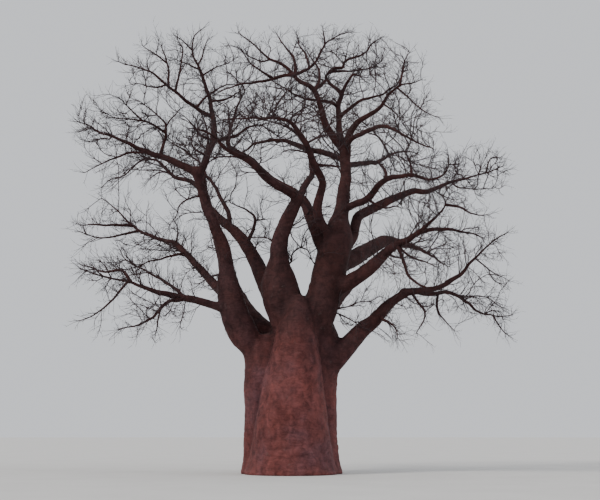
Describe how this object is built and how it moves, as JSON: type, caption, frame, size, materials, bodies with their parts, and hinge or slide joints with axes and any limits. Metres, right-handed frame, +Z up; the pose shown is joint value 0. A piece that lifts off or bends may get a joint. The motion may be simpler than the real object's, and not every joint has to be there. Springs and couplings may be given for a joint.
{
  "type": "baobab tree",
  "caption": "Bare dry-season baobab tree with a stout fluted trunk, short heavy boughs and a wide crown of fine twigs, rooted in level ground.",
  "frame": {"origin": "middle of the flat cut under the trunk, at ground level", "axes": "+Z up the trunk, -Y towards the usual viewer, +X to that viewer's right"},
  "size_m": [19.163, 16.2949, 18.05],
  "materials": {
    "bark": "smooth folded bark, mauve brown, matt",
    "twigs": "fine bare twigs, dark brown, matt"
  },
  "bodies": {
    "root": {"trunk": "bark", "twigs_left_crest": "twigs", "twigs_left_shoulder": "twigs", "twigs_left_wing": "twigs", "twigs_left_far": "twigs", "twigs_left_arm": "twigs", "twigs_left_low": "twigs", "twigs_left_skirt": "twigs", "twigs_left_inner": "twigs", "twigs_crown_top": "twigs", "twigs_crown_peak": "twigs", "twigs_right_crest": "twigs", "twigs_front_heart": "twigs", "twigs_front_left": "twigs", "twigs_front_shoulder": "twigs", "twigs_front_right": "twigs", "twigs_right_wing": "twigs", "twigs_right_arm": "twigs", "twigs_right_low": "twigs", "twigs_right_tip": "twigs", "twigs_right_skirt": "twigs", "twigs_far_left": "twigs", "twigs_far_back": "twigs", "twigs_far_right": "twigs", "twigs_far_arm": "twigs", "twigs_far_low_right": "twigs", "twigs_far_low_left": "twigs", "twigs_crown_back": "twigs", "bough_left": "bark", "bough_left_wing": "bark", "bough_left_crest": "bark", "bough_left_shoulder": "bark", "bough_left_arm": "bark", "bough_left_low": "bark", "bough_left_skirt": "bark", "bough_middle": "bark", "bough_front_left": "bark", "bough_far_heart": "bark", "bough_left_far": "bark", "bough_left_slender": "bark", "bough_right": "bark", "bough_crossing": "bark", "bough_crown_peak": "bark", "bough_crown_top": "bark", "bough_right_crest": "bark", "bough_front_shoulder": "bark", "bough_far_middle": "bark", "bough_far_right": "bark", "bough_front": "bark", "bough_right_wing": "bark", "bough_front_right": "bark", "bough_right_arm": "bark", "bough_far_arm": "bark", "bough_right_low": "bark", "bough_right_low_outer": "bark", "bough_right_tip": "bark", "bough_far_left": "bark", "bough_far_back": "bark", "bough_far_low_right": "bark", "bough_far_low_left": "bark"}
  },
  "joints": []
}
